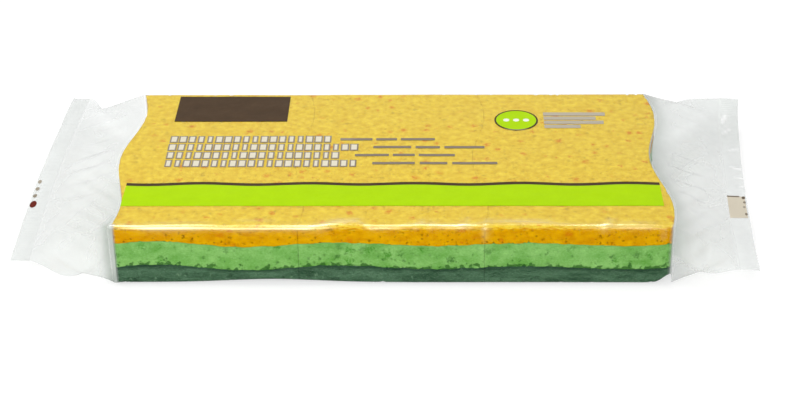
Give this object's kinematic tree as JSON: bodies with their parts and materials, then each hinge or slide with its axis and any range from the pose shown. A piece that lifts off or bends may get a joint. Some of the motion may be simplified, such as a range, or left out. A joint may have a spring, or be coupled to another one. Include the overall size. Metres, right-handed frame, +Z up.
{
  "type": "wrapped sponge scourer pack",
  "caption": "Sponge scourers with a scouring pad underneath, side by side in a sealed, clear printed film wrap with crimped ends.",
  "frame": {"origin": "under the middle of the pack, on the flat face that it rests on", "axes": "+X along the row of sponges to the right, +Y to the back, away from the lime band, +Z up through the printed top"},
  "size_m": [0.3668, 0.1759, 0.0329],
  "materials": {
    "clear_film": "clear glossy packing film, milky where it is gathered and sealed",
    "yellow_cellulose": "soft matt cellulose sponge with small open pores and orange flecks",
    "green_foam": "soft matt sponge with open pores",
    "scouring_fibre": "coarse matt non-woven fibre pad",
    "lime_ink": "opaque printed ink under a film gloss",
    "brown_ink": "opaque printed ink under a film gloss",
    "white_ink": "opaque printed ink under a film gloss"
  },
  "bodies": {
    "root": {"film_wrap": "clear_film", "left_yellow_sponge": "yellow_cellulose", "left_green_sponge": "green_foam", "left_scouring_pad": "scouring_fibre", "middle_yellow_sponge": "yellow_cellulose", "middle_green_sponge": "green_foam", "middle_scouring_pad": "scouring_fibre", "right_yellow_sponge": "yellow_cellulose", "right_green_sponge": "green_foam", "right_scouring_pad": "scouring_fibre", "lime_print": "lime_ink", "brown_print": "brown_ink", "white_print": "white_ink"}
  },
  "joints": []
}
